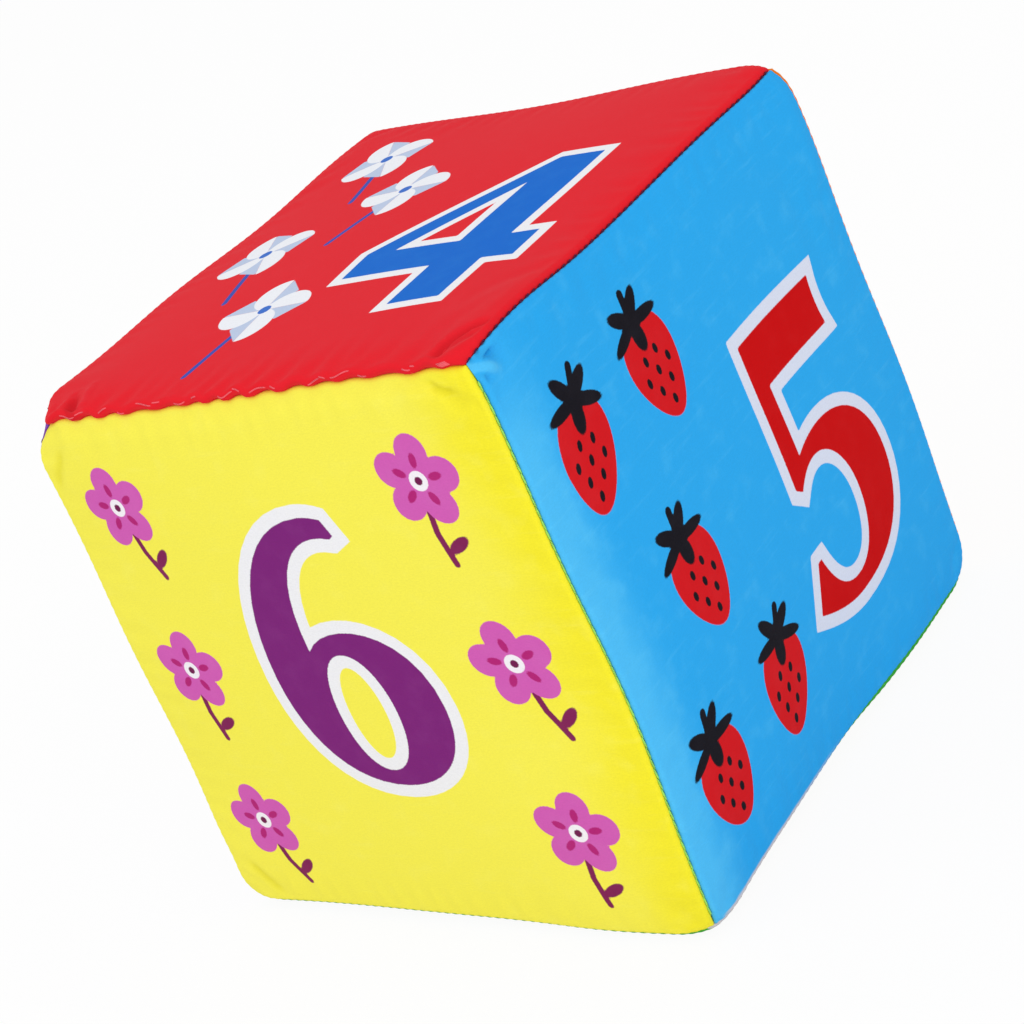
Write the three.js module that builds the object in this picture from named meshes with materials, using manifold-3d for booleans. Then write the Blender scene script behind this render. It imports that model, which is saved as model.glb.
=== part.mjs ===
// Soft dice for a small child: a foam cube in a sewn cover of six fabric panels, with a rattle at its middle.
// Millimetres, +Z up. The origin is the middle of the face that the dice rests on.
// The panel with the six faces -Y, the five +X and the four +Z, and opposite panels add up to seven.

import * as THREE from 'three';
import { mergeVertices } from 'three/addons/utils/BufferGeometryUtils.js';
import Module from 'manifold-3d';

// The sewn cover
const SIDE = 98; // from seam to seam
const CROWN = 1.6; // swell of a panel past its seams
const CORNER_DRAW = 2.6; // how far a corner is drawn in, along each axis
const CORNER_SPAN = 12; // length of seam at each end that the corner draws in
const SEAM_BOW = 0.7; // how far the middle of a seam is drawn in
const SEAM_BAND = 15; // width beside a seam that the seam draws in
const FABRIC = 1; // thickness of the short-pile cloth
const FOLD_INSIDE = 0.2; // radius inside the fold where the cloth turns in at a seam
const SEAM_GAP = 0.3; // between the two layers of cloth in a seam
const ALLOWANCE = 6; // cloth turned inside along a seam

// The sewing thread
const THREAD_DIA = 0.6;
const CLOSING_PITCH = 5.8; // one whip stitch of the seam that is closed last, by hand

// The foam core
const CLEARANCE = 0.3; // between pieces that touch

// The rattle
const CAPSULE_DIA = 30;
const CUP_HEIGHT = 20;
const CAPSULE_WALL = 1.5;
const CAPSULE_ROUND = 2.5; // rounding of the cup's lower edge
const LID_SKIRT = 3; // depth of the ring that plugs the lid into the cup
const BEAD_DIA = 5;
const BEAD_COUNT = 5;

// Fineness of the facets
const PANEL_CELLS = 10;
const FOLD_STEPS = 3;
const THREAD_SIDES = 6;
const THREAD_STEPS = 10;
const STEPS_PER_STITCH = 8;
const TURNED_SIDES = 32;
const ROUND_STEPS = 3;
const BEAD_SIDES = 12;
const BEAD_RINGS = 8;
const WELD = 1e-4; // points closer than this are one point

// Section of a seam: the cloth comes off the face, turns 135 degrees and runs in along the mitre plane
const HALF = SIDE / 2;
const FOLD_RADIUS = FABRIC + FOLD_INSIDE;
const FOLD_OFFSET = FOLD_RADIUS + SEAM_GAP / 2; // from the mitre plane to the middle of the fold
const FOLD_Z = HALF - FOLD_RADIUS;
const FOLD_X = FOLD_Z - Math.SQRT2 * FOLD_OFFSET;
const FOLD_OUT = (FOLD_X + FOLD_Z) / Math.SQRT2; // from the cube's middle, along the diagonal of the section
const FOLD_TURN = 0.75 * Math.PI;
const INNER_Z = HALF - FABRIC;
const INNER_X = INNER_Z - Math.SQRT2 * (SEAM_GAP / 2 + FABRIC);

// Where the thread lies in the groove between two folds
const THREAD_REACH = FOLD_RADIUS + THREAD_DIA / 2 + CLEARANCE;
const THREAD_HALF = HALF - CORNER_SPAN;

// The foam fills the cover and is slit along the twelve edges for the cloth that is turned in
const FOAM_HALF = INNER_Z - CLEARANCE;
const SLIT_WIDTH = SEAM_GAP + 2 * (FABRIC + CLEARANCE);
const SLIT_FLOOR = FOLD_OUT - ALLOWANCE - Math.SQRT2 * (CORNER_DRAW + SEAM_BOW) - CLEARANCE;
const SLIT_DEPTH = Math.SQRT2 * HALF - SLIT_FLOOR;

// The rattle's capsule stands at the cube's middle
const CAPSULE_RADIUS = CAPSULE_DIA / 2;
const LID_Z = CUP_HEIGHT + CLEARANCE;
const CAPSULE_HEIGHT = LID_Z + CAPSULE_WALL;
const CAPSULE_BASE = -CAPSULE_HEIGHT / 2;
const SKIRT_RADIUS = CAPSULE_RADIUS - CAPSULE_WALL - CLEARANCE;
const SKIRT_INSIDE = SKIRT_RADIUS - CAPSULE_WALL;
const BEAD_CIRCLE = SKIRT_INSIDE - BEAD_DIA / 2 - CLEARANCE;
const BEAD_Z = CAPSULE_BASE + CAPSULE_WALL + CLEARANCE + BEAD_DIA / 2;
const POCKET_RADIUS = CAPSULE_RADIUS + CLEARANCE;

const FACES = {
  yellow: { node: 'panel_yellow_six', normal: new THREE.Vector3(0, -1, 0), color: '#f3e946', crown: CROWN },
  blue: { node: 'panel_blue_five', normal: new THREE.Vector3(1, 0, 0), color: '#2fa3e9', crown: CROWN },
  red: { node: 'panel_red_four', normal: new THREE.Vector3(0, 0, 1), color: '#e32d37', crown: CROWN },
  green: { node: 'panel_green_three', normal: new THREE.Vector3(0, 0, -1), color: '#52b848', crown: 0 },
  purple: { node: 'panel_purple_two', normal: new THREE.Vector3(-1, 0, 0), color: '#8a4bb0', crown: CROWN },
  orange: { node: 'panel_orange_one', normal: new THREE.Vector3(0, 1, 0), color: '#f08a24', crown: CROWN },
};

const MACHINE_SEAMS = [
  ['red', 'blue'],
  ['red', 'orange'],
  ['red', 'purple'],
  ['yellow', 'blue'],
  ['blue', 'orange'],
  ['orange', 'purple'],
  ['purple', 'yellow'],
  ['green', 'yellow'],
  ['green', 'blue'],
  ['green', 'orange'],
  ['green', 'purple'],
];
const CLOSING_SEAM = ['red', 'yellow'];

const wasm = await Module();
wasm.setup();

function toSolid(geometry) {
  const bare = geometry.clone();
  bare.deleteAttribute('normal');
  bare.deleteAttribute('uv');
  const merged = mergeVertices(bare, WELD);
  const vertProperties = Float32Array.from(merged.attributes.position.array);
  const triVerts = Uint32Array.from(merged.index.array);
  return new wasm.Manifold(new wasm.Mesh({ numProp: 3, vertProperties, triVerts }));
}

function toGeometry(solid) {
  const mesh = solid.getMesh();
  return indexedGeometry(mesh.vertProperties, mesh.triVerts);
}

function indexedGeometry(positions, triangles) {
  const geometry = new THREE.BufferGeometry();
  geometry.setAttribute('position', new THREE.Float32BufferAttribute(positions, 3));
  geometry.setIndex(Array.from(triangles));
  geometry.computeVertexNormals();
  return geometry;
}

function piece(name, geometry, color, roughness) {
  const material = new THREE.MeshStandardMaterial({ color, roughness, metalness: 0 });
  const mesh = new THREE.Mesh(geometry, material);
  mesh.name = name;
  return mesh;
}

// 0 away from an edge of the cube, rising smoothly to 1 at the edge
function nearEdge(distance, width) {
  return THREE.MathUtils.smoothstep(distance, HALF - width, HALF);
}

// Draws a point of the sharp cube in towards the middle: most at the corners, a little along the seams
function drawnIn(point) {
  const [least, middle] = point.toArray().map(Math.abs).sort((a, b) => a - b);
  const corner = nearEdge(least, CORNER_SPAN) * nearEdge(middle, CORNER_SPAN);
  const seam = nearEdge(middle, SEAM_BAND) * (1 - (least / HALF) ** 2);
  return point.multiplyScalar(1 - (CORNER_DRAW * corner + SEAM_BOW * seam) / HALF);
}

function swell(x) {
  return Math.max(0, 1 - (x / FOLD_X) ** 4);
}

// Places across a panel from -1 to 1, closer together near the seams
function stations() {
  return Array.from({ length: PANEL_CELLS + 1 }, (_, i) => Math.sin(Math.PI * (i / PANEL_CELLS - 0.5)));
}

// A panel facing +Z: its crowned face, the folds at the four seams and the cloth turned in, as one tray
function panelGeometry(crown) {
  const across = stations();
  const last = PANEL_CELLS;
  const positions = [];
  const triangles = [];

  const addPoint = (x, y, z) => {
    positions.push(...drawnIn(new THREE.Vector3(x, y, z)).toArray());
    return positions.length / 3 - 1;
  };
  const addFace = (reach, level) => across.map((v) => across.map((u) => {
    const x = reach * u;
    const y = reach * v;
    return addPoint(x, y, level + crown * swell(x) * swell(y));
  }));
  const addQuad = (a, b, c, d) => triangles.push(a, b, c, a, c, d);

  const side = Array.from({ length: last }, (_, i) => i);
  const border = [
    ...side.map((i) => [i, 0]),
    ...side.map((i) => [last, i]),
    ...side.map((i) => [last - i, last]),
    ...side.map((i) => [0, last - i]),
  ];

  const outer = addFace(FOLD_X, HALF);
  const inner = addFace(INNER_X, INNER_Z);
  for (let j = 0; j < last; j += 1) {
    for (let i = 0; i < last; i += 1) {
      addQuad(outer[j][i], outer[j][i + 1], outer[j + 1][i + 1], outer[j + 1][i]);
      addQuad(inner[j][i], inner[j + 1][i], inner[j + 1][i + 1], inner[j][i + 1]);
    }
  }

  const section = [];
  for (let step = 1; step <= FOLD_STEPS; step += 1) {
    const turn = (FOLD_TURN * step) / FOLD_STEPS;
    section.push([FOLD_X + FOLD_RADIUS * Math.sin(turn), FOLD_Z + FOLD_RADIUS * Math.cos(turn)]);
  }
  const [mitreX, mitreZ] = section[FOLD_STEPS - 1];
  const inward = ALLOWANCE / Math.SQRT2;
  const thickness = FABRIC / Math.SQRT2;
  section.push([mitreX - inward, mitreZ - inward]);
  section.push([mitreX - inward - thickness, mitreZ - inward + thickness]);

  const rings = section.map(([reach, level]) => (
    border.map(([i, j]) => addPoint(reach * across[i], reach * across[j], level))
  ));
  rings.unshift(border.map(([i, j]) => outer[j][i]));
  rings.push(border.map(([i, j]) => inner[j][i]));
  for (let r = 1; r < rings.length; r += 1) {
    border.forEach((_, p) => {
      const next = (p + 1) % border.length;
      addQuad(rings[r - 1][p], rings[r][p], rings[r][next], rings[r - 1][next]);
    });
  }
  return indexedGeometry(positions, triangles);
}

function makeCover() {
  const cover = new THREE.Group();
  const up = new THREE.Vector3(0, 0, 1);
  Object.values(FACES).forEach(({ node, normal, color, crown }) => {
    const panel = piece(node, panelGeometry(crown), color, 0.9);
    panel.quaternion.setFromUnitVectors(up, normal);
    cover.add(panel);
  });
  return cover;
}

// A seam's own axes: across the seam, along it, and out along the diagonal between its two panels
function seamAxes(pair) {
  const [first, second] = pair.map((name) => FACES[name].normal);
  const across = first.clone().sub(second).divideScalar(Math.SQRT2);
  const out = first.clone().add(second).divideScalar(Math.SQRT2);
  const along = out.clone().cross(across);
  return new THREE.Matrix4().makeBasis(across, along, out);
}

// How far out a thread has to lie to clear the two folds, at a place beside the mitre plane
function threadOut(lateral) {
  return FOLD_OUT + Math.sqrt(THREAD_REACH ** 2 - (FOLD_OFFSET - Math.abs(lateral)) ** 2);
}

function threadGeometry(pair, steps, lateralAt) {
  const axes = seamAxes(pair);
  const points = [];
  for (let i = 0; i <= steps; i += 1) {
    const share = i / steps;
    const lateral = lateralAt(share);
    const local = new THREE.Vector3(lateral, THREAD_HALF * (2 * share - 1), threadOut(lateral));
    points.push(drawnIn(local.applyMatrix4(axes)));
  }
  const section = new THREE.Shape();
  section.absarc(0, 0, THREAD_DIA / 2, 0, 2 * Math.PI);
  return new THREE.ExtrudeGeometry(section, {
    extrudePath: new THREE.CatmullRomCurve3(points),
    steps,
    curveSegments: THREAD_SIDES / 2,
    bevelEnabled: false,
  });
}

function makeThreads() {
  const threads = new THREE.Group();
  MACHINE_SEAMS.forEach((pair) => {
    const geometry = threadGeometry(pair, THREAD_STEPS, () => 0);
    threads.add(piece(`seam_thread_${pair.join('_')}`, geometry, '#7a3a4a', 0.7));
  });
  const stitches = Math.round((2 * THREAD_HALF) / CLOSING_PITCH);
  const whip = (share) => FOLD_OFFSET * Math.sin(2 * Math.PI * stitches * share);
  const closing = threadGeometry(CLOSING_SEAM, stitches * STEPS_PER_STITCH, whip);
  threads.add(piece('closing_seam_thread', closing, '#d8434a', 0.7));
  return threads;
}

// The foam before its slits and its pocket are cut
function foamCube() {
  const places = [-FOAM_HALF, ...stations().map((u) => INNER_X * u), FOAM_HALF];
  const up = new THREE.Vector3(0, 0, 1);
  const positions = [];
  const triangles = [];
  Object.values(FACES).forEach(({ normal, crown }) => {
    const turn = new THREE.Quaternion().setFromUnitVectors(up, normal);
    const start = positions.length / 3;
    places.forEach((y) => places.forEach((x) => {
      const point = new THREE.Vector3(x, y, FOAM_HALF + crown * swell(x) * swell(y));
      positions.push(...drawnIn(point.applyQuaternion(turn)).toArray());
    }));
    const row = places.length;
    for (let j = 0; j + 1 < row; j += 1) {
      for (let i = 0; i + 1 < row; i += 1) {
        const a = start + j * row + i;
        triangles.push(a, a + 1, a + row + 1, a, a + row + 1, a + row);
      }
    }
  });
  return toSolid(indexedGeometry(positions, triangles));
}

function upright(radius, bottom, top) {
  const geometry = new THREE.CylinderGeometry(radius, radius, top - bottom, TURNED_SIDES);
  return toSolid(geometry.rotateX(Math.PI / 2).translate(0, 0, (bottom + top) / 2));
}

function slit(pair) {
  const box = new THREE.BoxGeometry(SLIT_WIDTH, SIDE, SLIT_DEPTH);
  box.translate(0, 0, SLIT_FLOOR + SLIT_DEPTH / 2);
  return toSolid(box.applyMatrix4(seamAxes(pair)));
}

function makeFoam() {
  const foam = new THREE.Group();
  let block = foamCube();
  const plugShape = upright(CAPSULE_RADIUS, CAPSULE_BASE + CAPSULE_HEIGHT + CLEARANCE, SIDE);
  const plug = block.intersect(plugShape);
  block = block.subtract(upright(POCKET_RADIUS, CAPSULE_BASE - CLEARANCE, SIDE));
  [...MACHINE_SEAMS, CLOSING_SEAM].forEach((pair) => {
    block = block.subtract(slit(pair));
  });
  foam.add(piece('foam_block', toGeometry(block), '#f2efe4', 1));
  foam.add(piece('foam_plug', toGeometry(plug), '#e6e2d4', 1));
  return foam;
}

function turned(profile) {
  const points = profile.map(([radius, height]) => new THREE.Vector2(radius, height));
  return new THREE.LatheGeometry(points, TURNED_SIDES).rotateX(Math.PI / 2);
}

// Points of the cup's rounding, a quarter of a circle about its middle
function quarterRound(radius, height, start) {
  return Array.from({ length: ROUND_STEPS + 1 }, (_, i) => {
    const angle = start + (Math.PI / 2) * (i / ROUND_STEPS);
    return [radius + CAPSULE_ROUND * Math.cos(angle), height + CAPSULE_ROUND * Math.sin(angle)];
  });
}

function cupGeometry() {
  const bore = CAPSULE_RADIUS - CAPSULE_WALL;
  return turned([
    [0, 0],
    ...quarterRound(CAPSULE_RADIUS - CAPSULE_ROUND, CAPSULE_ROUND, -Math.PI / 2),
    [CAPSULE_RADIUS, CUP_HEIGHT],
    [bore, CUP_HEIGHT],
    [bore, CAPSULE_WALL],
    [0, CAPSULE_WALL],
  ]);
}

function lidGeometry() {
  const edge = CAPSULE_WALL / 2; // the rim's chamfer
  return turned([
    [0, LID_Z],
    [SKIRT_INSIDE, LID_Z],
    [SKIRT_INSIDE, LID_Z - LID_SKIRT],
    [SKIRT_RADIUS, LID_Z - LID_SKIRT],
    [SKIRT_RADIUS, LID_Z],
    [CAPSULE_RADIUS, LID_Z],
    [CAPSULE_RADIUS, CAPSULE_HEIGHT - edge],
    [CAPSULE_RADIUS - edge, CAPSULE_HEIGHT],
    [0, CAPSULE_HEIGHT],
  ]);
}

function makeRattle() {
  const rattle = new THREE.Group();
  const capsule = new THREE.Group();
  capsule.position.z = CAPSULE_BASE;
  capsule.add(piece('rattle_cup', cupGeometry(), '#f4f4f0', 0.45));
  capsule.add(piece('rattle_lid', lidGeometry(), '#5fb4e8', 0.45));
  rattle.add(capsule);
  for (let i = 0; i < BEAD_COUNT; i += 1) {
    const angle = (2 * Math.PI * i) / BEAD_COUNT;
    const geometry = new THREE.SphereGeometry(BEAD_DIA / 2, BEAD_SIDES, BEAD_RINGS);
    const bead = piece(`rattle_bead_${i + 1}`, geometry.rotateX(Math.PI / 2), '#e8543c', 0.35);
    bead.position.set(BEAD_CIRCLE * Math.cos(angle), BEAD_CIRCLE * Math.sin(angle), BEAD_Z);
    rattle.add(bead);
  }
  return rattle;
}

const dice = new THREE.Group();
dice.position.z = HALF;
dice.add(makeCover());
dice.add(makeThreads());
dice.add(makeFoam());
dice.add(makeRattle());

const part = new THREE.Group();
part.add(dice);

export default part;
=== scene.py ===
"""Looks of the soft dice: a sewn and printed cloth cover over a foam core with a rattle inside."""

import math
from collections import namedtuple

import bpy
import numpy as np
from mathutils import Matrix, Vector


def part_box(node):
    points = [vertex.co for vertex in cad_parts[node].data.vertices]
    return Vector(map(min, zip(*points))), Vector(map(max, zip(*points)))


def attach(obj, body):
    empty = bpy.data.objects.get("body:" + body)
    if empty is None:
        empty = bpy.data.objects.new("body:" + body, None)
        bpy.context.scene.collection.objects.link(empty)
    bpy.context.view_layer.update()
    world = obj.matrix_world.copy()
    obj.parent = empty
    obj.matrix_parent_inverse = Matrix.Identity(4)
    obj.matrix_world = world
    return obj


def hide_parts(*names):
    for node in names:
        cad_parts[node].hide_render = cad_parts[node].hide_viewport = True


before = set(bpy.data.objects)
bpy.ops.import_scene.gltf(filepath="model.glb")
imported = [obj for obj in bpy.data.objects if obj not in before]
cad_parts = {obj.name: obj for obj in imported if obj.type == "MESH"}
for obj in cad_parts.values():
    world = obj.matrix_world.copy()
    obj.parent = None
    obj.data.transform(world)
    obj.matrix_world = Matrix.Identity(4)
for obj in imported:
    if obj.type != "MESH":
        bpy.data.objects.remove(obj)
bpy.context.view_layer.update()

# Sizes are in millimetres, which mesh_object turns into metres. Points on the cover are worked out about
# the middle of the cube and lifted by HALF at the end.
MM = 0.001
ROOT_TWO = math.sqrt(2)
HALF = 49.0
BODY = "cover_and_core"
FOLD = 0.7
SEAM_GAP = 0.05
CLOTH = 0.5
FLANGE = 3.0
FLAT = HALF - FOLD - ROOT_TWO * (FOLD + SEAM_GAP)
SEAM = HALF - FOLD - (FOLD + SEAM_GAP) / ROOT_TWO
SEAM_BAND = 14.0
WAVER = 0.22
WAVER_LENGTH = 13.0
WAVER_CALM = 20.0

# Each face has its number and the ways in which that reads and stands.
Face = namedtuple("Face", "number right up")
FACES = {
    "yellow": Face("six", (1, 0, 0), (0, 0, 1)),
    "blue": Face("five", (0, 1, 0), (0, 0, 1)),
    "red": Face("four", (1, 0, 0), (0, 1, 0)),
    "green": Face("three", (1, 0, 0), (0, -1, 0)),
    "purple": Face("two", (0, -1, 0), (0, 0, 1)),
    "orange": Face("one", (-1, 0, 0), (0, 0, 1)),
}

# How far a corner is drawn in, over what length of its edges, and how far it sits from a true cube's.
Corner = namedtuple("Corner", "draw span shift")
CORNERS = {
    (1, -1, 1): Corner(2.2, 8, (-0.3, 0.3, 0.7)),
    (-1, -1, 1): Corner(4.7, 10, (2.2, 0.6, -2.0)),
    (-1, -1, -1): Corner(2.3, 8, (-0.3, -1.9, 0.4)),
    (1, -1, -1): Corner(2.0, 9, (1.4, -1.6, 0)),
    (1, 1, -1): Corner(1.8, 8, (-2.5, -0.2, 0)),
    (1, 1, 1): Corner(1.1, 8, (-2.4, -2.6, 0.6)),
    (-1, 1, 1): Corner(0.3, 5, (4.4, 1.2, 0)),
    (-1, 1, -1): Corner(1.8, 9, (0, 0, 0)),
}

# Each seam joins the two faces in its name and is bowed in along its length, unevenly if it leans.
Seam = namedtuple("Seam", "bow lean", defaults=[0])
SEAMS = {
    "red_blue": Seam(0.7),
    "red_orange": Seam(0.5),
    "red_purple": Seam(0.1, 1.5),
    "red_yellow": Seam(0.4),
    "yellow_blue": Seam(0.5),
    "blue_orange": Seam(-0.8, 0.1),
    "orange_purple": Seam(0.8),
    "purple_yellow": Seam(0.45),
    "green_yellow": Seam(0.4, 1.0),
    "green_blue": Seam(1.2, 0.8),
    "green_orange": Seam(0.8),
    "green_purple": Seam(0.8),
}
CLOSING = "red_yellow"

# Where the stuffing pushes the cover out of line: the place, how far round it that reaches, the push.
Bulge = namedtuple("Bulge", "place reach push")
BULGES = [
    Bulge((HALF, -36, HALF), (10, 14, 16), (0, 0, 1.1)),
    Bulge((HALF, -HALF, 6), (18, 18, 34), (0.9, 0.8, 0)),
    Bulge((28, -HALF, -HALF), (13, 14, 24), (0, -0.8, 0)),
    Bulge((HALF, 28, -HALF), (12, 16, 12), (0.8, 0, 0.5)),
    Bulge((HALF, -HALF, HALF), (4, 4, 4), (-1.0, 0, -0.4)),
    Bulge((-HALF, -HALF, -40), (6, 6, 6), (0.7, 0, 0)),
    Bulge((-HALF, 4, 14), (16, 32, 22), (-2.5, 0, 0)),
    Bulge((-HALF, 14, 32), (14, 30, 9), (-1.8, 0, 0)),
    Bulge((-HALF, 36, 8), (14, 9, 20), (-1.0, 0, 0)),
    Bulge((HALF, HALF, HALF), (6, 6, 2.6), (0, -1.5, 0.6)),
]

# The cloth is simulated on a coarse grid and shown on a fine one.
CELLS = 48
REFINE = 5
FINE = CELLS * REFINE
INNER_STEP = 4
FOLD_STEPS = 6
CROWN_CAP = 2.4


def placed(name, data):
    """A new object in the scene."""
    made = bpy.data.objects.new(name, data)
    bpy.context.scene.collection.objects.link(made)
    return made


def mesh_object(name, points, faces, scale=MM):
    """A smooth-shaded mesh object from points and polygons."""
    mesh = bpy.data.meshes.new(name)
    mesh.from_pydata((points * scale).tolist(), [], faces)
    mesh.shade_smooth()
    mesh.update()
    return placed(name, mesh)


def mesh_points(mesh):
    """The points of a mesh."""
    points = np.empty(len(mesh.vertices) * 3)
    mesh.vertices.foreach_get("co", points)
    return points.reshape(-1, 3)


def dress(made, node, material, body=BODY):
    """A finished piece takes the place of a CAD node."""
    made.data.materials.append(material)
    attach(made, body)
    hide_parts(node)


def outward(face):
    """The way a face looks out of the cube."""
    return np.cross(face.right, face.up)


def unit(vectors):
    """Vectors brought to a length of one."""
    return vectors / np.linalg.norm(vectors, axis=-1, keepdims=True)


def tube_quads(index):
    """Quads between closed rings of point numbers."""
    ahead = np.roll(index, -1, axis=-1)
    low, high = slice(None, -1), slice(1, None)
    corners = [index[..., low, :], ahead[..., low, :], ahead[..., high, :], index[..., high, :]]
    return np.stack(corners, axis=-1).reshape(-1, 4)


def smooth_step(low, high, values):
    """0 below low, 1 above high, and an even ramp between."""
    share = np.clip((values - low) / (high - low), 0, 1)
    return share * share * (3 - 2 * share)


def near_edge(values, band):
    """1 at the cube's edge, falling to 0 over the band."""
    return smooth_step(HALF - band, HALF, values)


def seam_axes(key):
    """The ways out of a seam's two faces, and the way along it."""
    first, second = (outward(FACES[name]) for name in key.split("_"))
    return first, second, np.cross(first, second)


def near_seam(points, key, band):
    """1 on a seam, falling to 0 over a band, with the place along it and the way out of it."""
    first, second, along = seam_axes(key)
    near = near_edge(points @ first, band) * near_edge(points @ second, band)
    return near, points @ along, (first + second) / ROOT_TWO


def waver(points):
    """The slow unevenness of sewn cloth, which fades towards the floor."""
    x, y, z = np.moveaxis(points / WAVER_LENGTH, -1, 0)
    wave = np.stack(
        [
            np.sin(0.9 * y + 1.3 * z + 0.4) + np.sin(1.9 * y - 0.7 * z + 2.1),
            np.sin(1.1 * x - 0.8 * z + 1.7) + np.sin(0.6 * x + 1.8 * z + 0.3),
            np.sin(1.2 * x + 0.7 * y + 2.6) + np.sin(-0.5 * x + 1.7 * y + 1.1),
        ],
        axis=-1,
    )
    wave[..., 2] *= smooth_step(-HALF, -HALF + WAVER_CALM, points[..., 2])
    return WAVER * wave


def shaped(points):
    """Points of a sharp cube, moved to where the sewn cover has them."""
    pull = np.zeros(points.shape[:-1])
    shift = waver(points)
    for key, seam in SEAMS.items():
        near, along, _ = near_seam(points, key, SEAM_BAND)
        share = along / HALF
        pull += seam.bow * near * (1 - share**2) * (1 + seam.lean * share)
    for signs, corner in CORNERS.items():
        towards = points * signs
        near = np.clip((towards - HALF + corner.span) / corner.span, 0, 1)
        pull += corner.draw * np.prod(near**2, axis=-1)
        share = np.prod((1 + towards / HALF) / 2, axis=-1)
        shift += share[..., None] * corner.shift
    for bulge in BULGES:
        away = (points - bulge.place) / bulge.reach
        shift += np.exp(-np.sum(away**2, axis=-1))[..., None] * bulge.push
    return points * (1 - pull / HALF)[..., None] + shift


# The cover's sheets: their grids, the simulation that swells them, and the closed panels made from them.
def on_face(face, places, depth):
    """Points of the sharp cube from places on a face and a depth from the middle."""
    return places @ [face.right, face.up] + depth * outward(face)


def grid_places(cells):
    """Places across and up a face, on a square grid over the flat part of a panel."""
    line = np.linspace(-FLAT, FLAT, cells + 1)
    return np.stack(np.meshgrid(line, line, indexing="ij"), axis=-1)


def grid_quads(count):
    """Quads of a square grid of points, facing outward."""
    index = np.arange(count * count).reshape(count, count)
    corners = [index[:-1, :-1], index[1:, :-1], index[1:, 1:], index[:-1, 1:]]
    return np.stack(corners, axis=-1).reshape(-1, 4)


# The simulation runs on a larger copy of the sheets.
SIM_SCALE = 0.01
SIM_FRAMES = 26
SIM_SEAM_BAND = 12.0
SIM_SETTINGS = dict(
    quality=6, mass=0.3, tension_stiffness=20, compression_stiffness=20, shear_stiffness=8,
    bending_stiffness=0.6, tension_damping=12, compression_damping=12, shear_damping=12, air_damping=4,
    vertex_group_mass="sewn", vertex_group_shrink="taut", shrink_min=-0.0035, shrink_max=0.0,
    use_pressure=True, uniform_pressure_force=0.4,
)


def simulated_swell(sheets):
    """How the foam swells each sheet, from a cloth simulation with the borders sewn fast."""
    count = CELLS + 1
    points = np.concatenate([sheet.reshape(-1, 3) for sheet in sheets.values()])
    quads = np.concatenate([grid_quads(count) + i * count**2 for i in range(len(sheets))])
    cover = mesh_object("cover_sheets", points, quads.tolist(), SIM_SCALE)
    edge = np.tile(np.abs(grid_places(CELLS)).max(axis=-1).ravel(), len(sheets))
    cover.vertex_groups.new(name="sewn").add(np.flatnonzero(edge >= FLAT).tolist(), 1.0, "REPLACE")
    taut = cover.vertex_groups.new(name="taut")
    for i, weight in enumerate(1 - near_edge(edge, SIM_SEAM_BAND)):
        taut.add([i], float(weight), "REPLACE")
    cloth = cover.modifiers.new("swell", "CLOTH")
    for key, value in SIM_SETTINGS.items():
        setattr(cloth.settings, key, value)
    cloth.settings.effector_weights.gravity = 0
    cloth.collision_settings.use_collision = False
    cloth.point_cache.frame_start = 1
    cloth.point_cache.frame_end = SIM_FRAMES
    scene = bpy.context.scene
    for number in range(1, SIM_FRAMES + 1):
        scene.frame_set(number)
    swollen = cover.evaluated_get(bpy.context.evaluated_depsgraph_get()).data
    moved = mesh_points(swollen) / SIM_SCALE - points
    scene.frame_set(1)
    bpy.data.objects.remove(cover)
    length = np.linalg.norm(moved, axis=-1, keepdims=True)
    moved *= np.minimum(1, CROWN_CAP / np.maximum(length, 1e-6))
    return dict(zip(sheets, moved.reshape(len(sheets), count, count, 3)))


def refined(moved):
    """Coarse displacements carried to the fine grid by cubic curves."""
    fine = np.arange(FINE + 1)
    cell = np.minimum(fine // REFINE, CELLS - 1)
    t = fine / REFINE - cell
    shares = (-t + 2 * t**2 - t**3, 2 - 5 * t**2 + 3 * t**3, t + 4 * t**2 - 3 * t**3, t**3 - t**2)
    weights = np.zeros((FINE + 1, CELLS + 3))
    for i, share in enumerate(shares):
        weights[fine, cell + i] = share / 2
    padded = np.pad(moved, ((1, 1), (1, 1), (0, 0)), mode="reflect", reflect_type="odd")
    return np.einsum("ai,bj,ijc->abc", weights, weights, padded, optimize=True)


def border_ring(count):
    """Indices round the border of a square grid of points, anticlockwise from outside."""
    index = np.arange(count**2).reshape(count, count)
    return np.concatenate([index[:-1, 0], index[-1, :-1], index[:0:-1, -1], index[0, :0:-1]])


def fold_profile():
    """Reach and depth of the rings that roll a panel's edge in and run down its allowance."""
    angles = np.linspace(0, 0.75 * math.pi, FOLD_STEPS + 1)[1:]
    rings = [(FLAT + FOLD * math.sin(a), HALF - FOLD + FOLD * math.cos(a)) for a in angles]
    reach, depth = rings[-1]
    reach, depth = reach - FLANGE / ROOT_TWO, depth - FLANGE / ROOT_TWO
    return rings + [(reach, depth), (reach - CLOTH / ROOT_TWO, depth + CLOTH / ROOT_TWO)]


def ring_fans(fine, coarse):
    """Polygons between a fine ring and a coarse one."""
    step = len(fine) // len(coarse)
    half = step // 2
    polygons = []
    for i, start in enumerate(coarse):
        run = [fine[(i * step + k) % len(fine)] for k in range(step + 1)]
        following = coarse[(i + 1) % len(coarse)]
        polygons += [(run[k], start, run[k + 1]) for k in range(half)]
        polygons.append((run[half], start, following))
        polygons += [(run[k], following, run[k + 1]) for k in range(half, step)]
    return polygons


def point_values(mesh, name, values, rest=0.0):
    """A number for each point of a mesh, for its material. Points beyond the given ones take the rest."""
    whole = np.full(len(mesh.vertices), rest, np.float32)
    whole[: values.size] = values.ravel()
    mesh.attributes.new(name, "FLOAT", "POINT").data.foreach_set("value", whole)


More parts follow.
